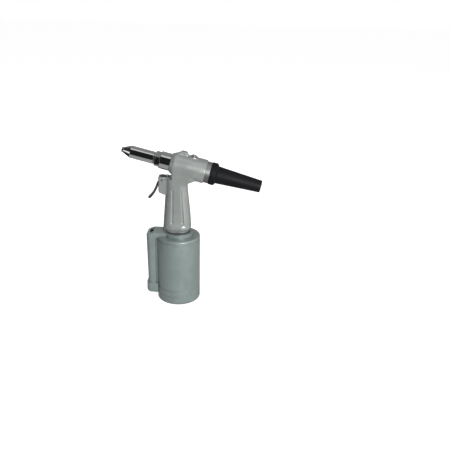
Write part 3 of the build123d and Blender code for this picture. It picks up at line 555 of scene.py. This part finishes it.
# black mouldings and coatings: grain, scuffs and polished edges
def makeMoulded(name, look, surface):
    material, tree, shader = newMaterial(name)
    vector = patternVector(tree, "plain")
    size, share = look["grainSize"], surface["coarseShare"]
    grain = placeGroup(tree, fineGrain, vector, Grain_Size=size, Coarse_Share=share)
    width, amount = surface["rubWidth"], surface["rubAmount"]
    rub = placeGroup(tree, edgeRub, vector, Width=width, Amount=amount)
    scale = surface["scuffScale"]
    scuff = addNode(tree, "ShaderNodeTexNoise", Scale=scale, Detail=5.0, Roughness=0.7)
    stretch = addNode(tree, "ShaderNodeMapping", vector_type="POINT")
    stretch.inputs["Scale"].default_value = surface["scuffStretch"]
    link(tree, vector, stretch.inputs["Vector"])
    link(tree, stretch.outputs["Vector"], scuff.inputs["Vector"])
    scuffFrom, scuffShare = surface["scuffFrom"], surface["scuffShare"]
    scratched = rampNode(tree, scuff.outputs["Fac"], *scuffFrom, 0.0, scuffShare)
    worn = mathNode(tree, "MAXIMUM", rub.outputs["Mask"], scratched)
    share = rampNode(tree, grain.outputs["Tone"], 0.3, 0.7, 0.0, surface["brightShare"])
    bright = tuple(surface["brightTone"] * part for part in look["colour"])
    tone = mixColour(tree, share, look["colour"], bright)
    link(tree, mixColour(tree, worn, tone, look["worn"]), shader.inputs["Base Color"])
    rough = rampNode(tree, grain.outputs["Tone"], 0.25, 0.75, *look["rough"])
    link(tree, rough, shader.inputs["Roughness"])
    shader.inputs["Specular IOR Level"].default_value = look["specular"]
    strength, height = look["grain"], surface["grainHeight"]
    normal = bumpNode(tree, grain.outputs["Height"], strength, height, rub.outputs["Normal"])
    link(tree, normal, shader.inputs["Normal"])
    return material


finishes = {}
for make, looks, surface in (
    (makeCastPaint, castPaintLook, castPaintSurface),
    (makeMetal, metalLook, metalSurface),
    (makeMoulded, mouldedLook, mouldedSurface),
):
    for name, look in looks.items():
        finishes[name] = make(name, look, surface)
print("finishes built:", len(finishes))

nodeFinish = {
    "silverPaint": ["air_cylinder", "base_cap", "chest_cover", "inlet_block"],
    "handlePaint": ["handle_housing"],
    "chromePlate": ["front_sleeve", "frame_adapter", "sleeve_lock_nut", "nosepiece"],
    "satinCap": ["rear_end_cap"],
    "zincPlate": [
        "clamp_nut", "chest_cover_screws", "inlet_block_screws", "drilling_plugs",
        "oil_filler_screw", "pull_rod", "ram_nut", "trigger_pin", "seal_retainer",
        "pilot_way_plug",
    ],
    "brassTurned": ["valve_sleeve", "rear_rod_bush", "pilot_cap", "ram_gland"],
    "copperRing": ["filler_sealing_washer"],
    "aluminiumTurned": ["air_piston", "valve_spool", "valve_plug", "pilot_valve"],
    "groundSteel": ["ram", "hydraulic_piston"],
    "hardenedSteel": ["jaw_case", "jaw_coupler", "jaw_pusher", "jaw_1", "jaw_2", "jaw_3"],
    "springWire": ["piston_return_spring", "spool_spring", "pilot_spring", "jaw_spring"],
    "blackBottle": ["mandrel_collector"],
    "nitrileRubber": [
        "piston_bumper", "ram_seal", "air_piston_seal", "front_rod_seal",
        "end_cap_o_ring", "collector_o_ring", "hydraulic_piston_seal",
    ],
    "fibreGasket": ["foot_gasket"],
    "blackOxide": ["trigger_lever"],
    "sinteredFoam": ["exhaust_muffler"],
}
for finish, names in nodeFinish.items():
    for name in names:
        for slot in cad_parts[name].material_slots:
            slot.material = finishes[finish]
print("parts dressed")

# merges the loose triangles of a CAD mesh into one closed form
def mergedForm(mesh):
    form = bmesh.new()
    form.from_mesh(mesh)
    bmesh.ops.remove_doubles(form, verts=form.verts, dist=2e-6)
    return form


def applyModifiers(piece):
    shaped = piece.evaluated_get(bpy.context.evaluated_depsgraph_get())
    piece.data = bpy.data.meshes.new_from_object(shaped)
    piece.data.name = piece.name
    piece.modifiers.clear()


def shadeSmooth(mesh, sharpAngle):
    mesh.polygons.foreach_set("use_smooth", [True] * len(mesh.polygons))
    mesh.set_sharp_from_angle(angle=math.radians(sharpAngle))


castHandle = {
    "grid": 0.0008,
    "filletReach": 0.0052,
    "fineReach": 0.0012,
    "bossFrom": (0.019, 0.004),  # up and back from the head's middle
    "footBelow": 0.178,
    "rounds": 36,
    "pull": 0.6,
    "creaseAngle": 22,
    "creaseStep": 0.0005,
    "edgeAngle": 28,
    "edgeStep": 0.0002,
    "skinGap": 0.0003,
    "skinReach": 0.07,
    "share": 0.75,
    "smoothAngle": 32,
}


# points along the edges of a mesh that pass a test
def edgePoints(form, step, test):
    points = []
    for edge in form.edges:
        if len(edge.link_faces) != 2 or not test(edge):
            continue
        start, end = (corner.co for corner in edge.verts)
        count = max(1, int((end - start).length / step))
        for index in range(count + 1):
            points.append(start.lerp(end, index / count))
    return points


def treeOf(points):
    tree = KDTree(max(1, len(points)))
    for index, point in enumerate(points):
        tree.insert(point, index)
    tree.balance()
    return tree


# the handle as one casting: same walls and bores, with the inner corners filled as cast
def buildCastHandle(values, node):
    form = mergedForm(node.data)
    form.normal_update()
    surface = BVHTree.FromBMesh(form)
    crease = math.radians(values["creaseAngle"])
    sharp = math.radians(values["edgeAngle"])

    def outside(point, normal):
        start = point + normal * values["skinGap"]
        return surface.ray_cast(start, normal, values["skinReach"])[0] is None

    def isCorner(edge):
        if edge.calc_face_angle_signed(0.0) > -crease:
            return False
        normal = (edge.link_faces[0].normal + edge.link_faces[1].normal).normalized()
        return outside(edge.verts[0].co.lerp(edge.verts[1].co, 0.5), normal)

    def isEdge(edge):
        return abs(edge.calc_face_angle_signed(0.0)) > sharp

    corners = edgePoints(form, values["creaseStep"], isCorner)
    cornerTree = treeOf(corners)
    edgeTree = treeOf(edgePoints(form, values["edgeStep"], isEdge))
    bossUp, bossBack = values["bossFrom"]
    toHead = headMatrix.inverted()
    reaches = []
    for point in corners:
        local = toHead @ point
        nearBoss = local.x > bossUp and local.z > bossBack
        fine = nearBoss or point.z < values["footBelow"]
        reaches.append(values["fineReach"] if fine else values["filletReach"])

    grid = bpy.data.meshes.new("castHandle")
    form.to_mesh(grid)
    form.free()
    piece = addObject("castHandle", grid)
    remesh = piece.modifiers.new("grid", "REMESH")
    remesh.mode = "VOXEL"
    remesh.voxel_size = values["grid"]
    applyModifiers(piece)

    form = bmesh.new()
    form.from_mesh(piece.data)
    form.normal_update()
    weights = {}
    for corner in form.verts:
        index, gap = cornerTree.find(corner.co)[1:]
        if index is not None and gap < reaches[index] and outside(corner.co, corner.normal):
            weights[corner] = 1.0 - (gap / reaches[index]) ** 2
    for corner in form.verts:
        if corner in weights:
            continue
        near, index, gap = edgeTree.find(corner.co)
        if gap < 0.5 * values["grid"]:
            corner.co = near
        else:
            corner.co = surface.find_nearest(corner.co)[0]
    rings = {corner: [edge.other_vert(corner) for edge in corner.link_edges] for corner in weights}
    for turn in range(values["rounds"]):
        moved = {}
        for corner, others in rings.items():
            middle = sum((other.co for other in others), Vector()) / len(others)
            moved[corner] = corner.co.lerp(middle, values["pull"] * weights[corner])
        for corner, place in moved.items():
            corner.co = place
    form.to_mesh(piece.data)
    form.free()
    thin = piece.modifiers.new("thin", "DECIMATE")
    thin.ratio = values["share"]
    applyModifiers(piece)
    piece.data.materials.clear()
    piece.data.materials.append(finishes["handlePaint"])
    shadeSmooth(piece.data, values["smoothAngle"])
    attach(piece, "housing")
    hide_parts("handle_housing")
    print("cast handle:", len(weights), "points filled,", len(piece.data.polygons), "faces")


buildCastHandle(castHandle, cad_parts["handle_housing"])

groovedCylinder = {
    "levels": (0.0298, 0.1342),
    "width": 0.0018,
    "depth": 0.0009,
    "radius": 0.0435,
    "cuts": (-0.5, -0.12, 0.12, 0.5),  # up the groove, in widths
    "nearWall": 0.00006,
    "smoothAngle": 32,
}


# gives each corner of a cut mesh the normal that the uncut surface has there; new faces
# keep their own
def keepNormals(mesh, source, isNew):
    source.calc_loop_triangles()
    triangles = source.loop_triangles
    corners = [corner.vector.copy() for corner in source.corner_normals]
    places = [corner.co.copy() for corner in source.vertices]
    tree = BVHTree.FromPolygons(places, [tuple(triangle.vertices) for triangle in triangles])
    normals = [Vector()] * len(mesh.loops)
    for face in mesh.polygons:
        if isNew(face.center):
            continue
        for loop in face.loop_indices:
            place = mesh.vertices[mesh.loops[loop].vertex_index].co
            triangle = triangles[tree.find_nearest(place.lerp(face.center, 0.05))[2]]
            normals[loop] = barycentric_transform(
                place,
                *(places[vertex] for vertex in triangle.vertices),
                *(corners[corner] for corner in triangle.loops),
            ).normalized()
    mesh.normals_split_custom_set(normals)


# the air cylinder with the two turned lines that run round its wall
def buildGroovedCylinder(values, node):
    def inGroove(place):
        offWall = abs(math.hypot(place.x, place.y) - values["radius"])
        offLevel = min(abs(place.z - level) for level in values["levels"])
        return offWall < 1.1 * values["depth"] and offLevel < 0.49 * values["width"]

    form = mergedForm(node.data)
    for level in values["levels"]:
        for share in values["cuts"]:
            bmesh.ops.bisect_plane(
                form,
                geom=form.verts[:] + form.edges[:] + form.faces[:],
                dist=1e-7,
                plane_co=(0, 0, level + share * values["width"]),
                plane_no=(0, 0, 1),
            )
        for corner in form.verts:
            radius = math.hypot(corner.co.x, corner.co.y)
            onFloor = abs(corner.co.z - level) < 0.2 * values["width"]
            if onFloor and abs(radius - values["radius"]) < values["nearWall"]:
                corner.co.x *= 1 - values["depth"] / radius
                corner.co.y *= 1 - values["depth"] / radius
    bmesh.ops.triangulate(form, faces=[face for face in form.faces if len(face.verts) > 4])
    mesh = bpy.data.meshes.new("groovedCylinder")
    form.to_mesh(mesh)
    form.free()
    if "custom_normal" in mesh.attributes:  # it belongs to the mesh before the cuts
        mesh.attributes.remove(mesh.attributes["custom_normal"])
    mesh.materials.append(finishes["silverPaint"])
    shadeSmooth(mesh, values["smoothAngle"])
    keepNormals(mesh, node.data, inGroove)
    piece = addObject("groovedCylinder", mesh)
    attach(piece, "housing")
    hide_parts("air_cylinder")
    print("grooved cylinder:", len(mesh.polygons), "faces")


buildGroovedCylinder(groovedCylinder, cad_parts["air_cylinder"])

# the pull rod's own line, from the foot of the grip up
rodLean = math.radians(4.246)
rodAxis = Vector((math.sin(rodLean), 0, math.cos(rodLean)))
rodFoot = Vector((-0.0295, 0, 0.1475))

windingSteps = 40  # points along each turn
roundAngle = 60

# threads and springs are one wound form with different values
windings = {
    "inletThread": {
        "radius": 0.00572, "height": 0.0114, "turns": 8.5, "wire": 0.00042, "sides": 4,
        "start": (-0.0535, 0.0182, 0.022), "turn": (math.pi / 2, 0, 0),
        "finish": "aluminiumTurned", "slot": "aluminium", "body": "housing",
    },
    "noseThread": {
        "radius": 0.01143, "height": 0.0021, "turns": 2.6, "wire": 0.00034, "sides": 4,
        "start": tuple(headStart - 0.04758 * headBack), "turn": headTurn,
        "finish": "chromePlate", "slot": "chrome_steel", "body": "housing",
    },
    "returnSpring": {
        "radius": 0.0105, "height": 0.0252, "turns": 6.0, "wire": 0.0009, "sides": 10,
        "start": tuple(headStart + 0.0199 * headBack), "turn": headTurn,
        "finish": "springWire", "slot": "spring_steel", "body": "housing",
        "replaces": "piston_return_spring", "joint": "puller_slide", "keep": 0.4426,
        "axis": tuple(headBack), "anchor": tuple(headStart + 0.046 * headBack),
    },
    "jawSpring": {
        "radius": 0.0052, "height": 0.0138, "turns": 6.0, "wire": 0.00045, "sides": 8,
        "start": tuple(headStart - 0.07025 * headBack), "turn": headTurn,
        "finish": "springWire", "slot": "spring_steel", "body": "puller",
        "replaces": "jaw_spring",
    },
    "spoolSpring": {
        "radius": 0.0041, "height": 0.0132, "turns": 6.0, "wire": 0.0004, "sides": 8,
        "start": (-0.052, 0, 0.1114), "turn": (0, 0, 0),
        "finish": "springWire", "slot": "spring_steel", "body": "housing",
        "replaces": "spool_spring", "joint": "spool_slide", "keep": 0.5714,
        "axis": (0, 0, 1), "anchor": (-0.052, 0, 0.125),
    },
    "pilotSpring": {
        "radius": 0.0024, "height": 0.005, "turns": 4.0, "wire": 0.0003, "sides": 8,
        "start": tuple(rodFoot - 0.0089 * rodAxis), "turn": (0, rodLean, 0),
        "finish": "springWire", "slot": "spring_steel", "body": "housing",
        "replaces": "pilot_spring", "joint": "pull_rod_slide", "keep": 0.4911,
        "axis": tuple(rodAxis), "anchor": tuple(rodFoot - 0.0036 * rodAxis),
    },
}


# a wire wound along the Z axis, then turned and moved to its place
def buildWindingTree():
    tree = bpy.data.node_groups.new("winding", "GeometryNodeTree")
    for label, kind in (
        ("Radius", "NodeSocketFloat"),
        ("Height", "NodeSocketFloat"),
        ("Turns", "NodeSocketFloat"),
        ("Wire", "NodeSocketFloat"),
        ("Sides", "NodeSocketInt"),
        ("Start", "NodeSocketVector"),
        ("Turn", "NodeSocketVector"),
        ("Material", "NodeSocketMaterial"),
    ):
        tree.interface.new_socket(name=label, in_out="INPUT", socket_type=kind)
    tree.interface.new_socket(name="Geometry", in_out="OUTPUT", socket_type="NodeSocketGeometry")
    entry, leave = tree.nodes.new("NodeGroupInput"), tree.nodes.new("NodeGroupOutput")
    spiral = tree.nodes.new("GeometryNodeCurveSpiral")
    spiral.inputs["Resolution"].default_value = windingSteps
    link(tree, entry.outputs["Turns"], spiral.inputs["Rotations"])
    link(tree, entry.outputs["Radius"], spiral.inputs["Start Radius"])
    link(tree, entry.outputs["Radius"], spiral.inputs["End Radius"])
    link(tree, entry.outputs["Height"], spiral.inputs["Height"])
    upright = tree.nodes.new("GeometryNodeSetCurveNormal")
    upright.mode = "Z_UP"
    link(tree, spiral.outputs["Curve"], upright.inputs["Curve"])
    profile = tree.nodes.new("GeometryNodeCurvePrimitiveCircle")
    link(tree, entry.outputs["Sides"], profile.inputs["Resolution"])
    link(tree, entry.outputs["Wire"], profile.inputs["Radius"])
    sweep = tree.nodes.new("GeometryNodeCurveToMesh")
    sweep.inputs["Fill Caps"].default_value = True
    link(tree, upright.outputs["Curve"], sweep.inputs["Curve"])
    link(tree, profile.outputs["Curve"], sweep.inputs["Profile Curve"])
    place = tree.nodes.new("GeometryNodeTransform")
    link(tree, sweep.outputs["Mesh"], place.inputs["Geometry"])
    link(tree, entry.outputs["Start"], place.inputs["Translation"])
    link(tree, entry.outputs["Turn"], place.inputs["Rotation"])
    real = tree.nodes.new("GeometryNodeRealizeInstances")
    link(tree, place.outputs["Geometry"], real.inputs["Geometry"])
    dress = tree.nodes.new("GeometryNodeSetMaterial")
    link(tree, real.outputs["Geometry"], dress.inputs["Geometry"])
    link(tree, entry.outputs["Material"], dress.inputs["Material"])
    link(tree, dress.outputs["Geometry"], leave.inputs["Geometry"])
    return tree


def buildWinding(name, values, tree):
    piece = addObject(name, bpy.data.meshes.new(name))
    winding = piece.modifiers.new("winding", "NODES")
    winding.node_group = tree
    given = {**values, "material": finishes[values["finish"]]}
    for socket in tree.interface.items_tree:
        if socket.in_out == "INPUT":
            winding[socket.identifier] = given[socket.name.lower()]
    bpy.context.view_layer.update()
    applyModifiers(piece)
    form = bmesh.new()
    form.from_mesh(piece.data)
    bmesh.ops.remove_doubles(form, verts=form.verts, dist=1e-7)
    bmesh.ops.recalc_face_normals(form, faces=form.faces)
    form.to_mesh(piece.data)
    form.free()
    if values["sides"] > 4:  # a thread's ridge stays sharp, a round wire is smooth
        shadeSmooth(piece.data, roundAngle)
    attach(piece, values["body"])
    if "replaces" in values:
        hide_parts(values["replaces"])
    if "joint" in values:
        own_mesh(piece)
    print(name, len(piece.data.polygons), "faces")


windingTree = buildWindingTree()
for name, values in windings.items():
    buildWinding(name, values, windingTree)

studio = {
    "ambient": 0.27,
    "toolMiddle": (0.0, 0.0, 0.17),
    "lights": {
        "keyLight": {"place": (0.85, -1.45, 0.62), "size": 0.7, "power": 28.0},
        "topLight": {"place": (-0.1, -0.35, 1.6), "size": 0.45, "power": 2.8},
        "backLight": {"place": (-0.9, 1.5, 0.5), "size": 1.0, "power": 11.0},
    },
    "floorHalf": 6,
    "floorTone": 0.75,
    "floorRough": 0.9,
    "floorGlow": 0.78,
}
tent = {
    "sides": 64,
    "radius": 0.46,
    "height": 1.3,
    "lift": 0.0005,
    "roofFrom": 1.06,
    "roofBlend": 0.12,
    "roofDepth": (-0.4, 0.1),
    "roofTones": (0.6, 0.2),
    "tableHeight": (0.05, 0.01),
    "tableSpan": (-0.34, -0.26),
    "tableTones": (0.02, 0.3),
    "cardHeight": 0.3,
    "cardHalfHeight": (0.11, 0.05),
    "cardBearing": -66,
    "cardHalfWidth": (0.26, 0.12),
    "cardTone": 0.95,
    "cloths": (  # bearing in degrees, 0 towards the camera, and tone
        (-180, 0.25), (-120, 0.16), (-100, 0.03), (-60, 0.03), (-52, 0.012), (34, 0.012),
        (56, 0.3), (78, 0.75), (102, 0.75), (125, 0.25), (180, 0.25),
    ),
}


# 1 for rays from the camera, a mirror or a glass, and 0 for rays that light the tool
def directlySeen(tree):
    rays = tree.nodes.new("ShaderNodeLightPath")
    seen = mathNode(tree, "MAXIMUM", rays.outputs["Is Camera Ray"], rays.outputs["Is Glossy Ray"])
    return mathNode(tree, "MAXIMUM", seen, rays.outputs["Is Transmission Ray"])


def buildWorld(values):
    world = bpy.data.worlds.new("paleStudio")
    world.use_nodes = True
    bpy.context.scene.world = world
    tree = world.node_tree
    background = tree.nodes["Background"]
    strength = rampNode(tree, directlySeen(tree), 0.0, 1.0, values["ambient"], 1.0)
    link(tree, strength, background.inputs["Strength"])
    background.inputs["Color"].default_value = (1, 1, 1, 1)


def buildLights(values):
    for name, light in values["lights"].items():
        data = bpy.data.lights.new(name, "AREA")
        data.shape = "DISK"
        data.size = light["size"]
        data.energy = light["power"]
        way = Vector(values["toolMiddle"]) - Vector(light["place"])
        turn = way.to_track_quat("-Z", "Y").to_matrix().to_4x4()
        addObject(name, data).matrix_world = Matrix.Translation(light["place"]) @ turn


def buildFloor(values):
    half = values["floorHalf"]
    corners = [(-half, -half, 0), (half, -half, 0), (half, half, 0), (-half, half, 0)]
    mesh = bpy.data.meshes.new("paleFloor")
    mesh.from_pydata(corners, [], [(0, 1, 2, 3)])
    floor = addObject("paleFloor", mesh)
    material, tree, shader = newMaterial("paleFloor")
    shader.inputs["Base Color"].default_value = (*([values["floorTone"]] * 3), 1)
    shader.inputs["Roughness"].default_value = values["floorRough"]
    shader.inputs["Specular IOR Level"].default_value = 0.0
    shader.inputs["Emission Color"].default_value = (1, 1, 1, 1)
    glow = mathNode(tree, "MULTIPLY", directlySeen(tree), values["floorGlow"])
    link(tree, glow, shader.inputs["Emission Strength"])
    mesh.materials.append(material)


# tent round the tool that only reflections see: dark cloth in front, pale at the right and
# above, with a white card at the left
def buildTent(values):
    mesh = bpy.data.meshes.new("studioTent")
    form = bmesh.new()
    radius, height = values["radius"], values["height"]
    bmesh.ops.create_cone(
        form,
        cap_ends=True,
        segments=values["sides"],
        radius1=radius,
        radius2=radius,
        depth=height,
    )
    bmesh.ops.translate(form, verts=form.verts, vec=(0, 0, height / 2 + values["lift"]))
    form.to_mesh(mesh)
    form.free()
    cover = addObject("studioTent", mesh)
    material, tree, shader = newMaterial("studioTent")
    point = tree.nodes.new("ShaderNodeTexCoord")
    parts = tree.nodes.new("ShaderNodeSeparateXYZ")
    link(tree, point.outputs["Object"], parts.inputs[0])
    ahead = mathNode(tree, "MULTIPLY", parts.outputs["Y"], -1.0)
    bearing = mathNode(tree, "ARCTAN2", parts.outputs["X"], ahead)
    cloths = tree.nodes.new("ShaderNodeValToRGB")
    around = mathNode(tree, "MULTIPLY_ADD", bearing, 0.5 / math.pi, 0.5)
    link(tree, around, cloths.inputs["Fac"])
    stops = cloths.color_ramp.elements
    while len(stops) > 1:
        stops.remove(stops[-1])
    for index, (degrees, shade) in enumerate(values["cloths"]):
        place = 0.5 + degrees / 360
        stop = stops[0] if index == 0 else stops.new(place)
        stop.position = place
        stop.color = (shade, shade, shade, 1)
    roofFrom, blend = values["roofFrom"], values["roofBlend"]
    above = rampNode(tree, parts.outputs["Z"], roofFrom - blend, roofFrom + blend)
    below = rampNode(tree, parts.outputs["Z"], *values["tableHeight"])
    offHeight = mathNode(tree, "SUBTRACT", parts.outputs["Z"], values["cardHeight"])
    offBearing = mathNode(tree, "SUBTRACT", bearing, math.radians(values["cardBearing"]))
    tall = rampNode(tree, mathNode(tree, "ABSOLUTE", offHeight), *values["cardHalfHeight"])
    wide = rampNode(tree, mathNode(tree, "ABSOLUTE", offBearing), *values["cardHalfWidth"])
    card = mathNode(tree, "MULTIPLY", tall, wide)
    tone = mixColour(tree, card, cloths.outputs["Color"], (values["cardTone"],) * 3)
    roof = rampNode(tree, parts.outputs["Y"], *values["roofDepth"], *values["roofTones"])
    tone = mixColour(tree, above, tone, roof)
    table = rampNode(tree, parts.outputs["X"], *values["tableSpan"], *values["tableTones"])
    tone = mixColour(tree, below, tone, table)
    shader.inputs["Base Color"].default_value = (0, 0, 0, 1)
    shader.inputs["Specular IOR Level"].default_value = 0.0
    link(tree, tone, shader.inputs["Emission Color"])
    shader.inputs["Emission Strength"].default_value = 1.0
    mesh.materials.append(material)
    cover.visible_camera = False
    cover.visible_diffuse = False
    cover.visible_shadow = False
    cover.visible_transmission = False
    cover.visible_volume_scatter = False


buildWorld(studio)
buildLights(studio)
buildFloor(studio)
buildTent(tent)
print("studio built")
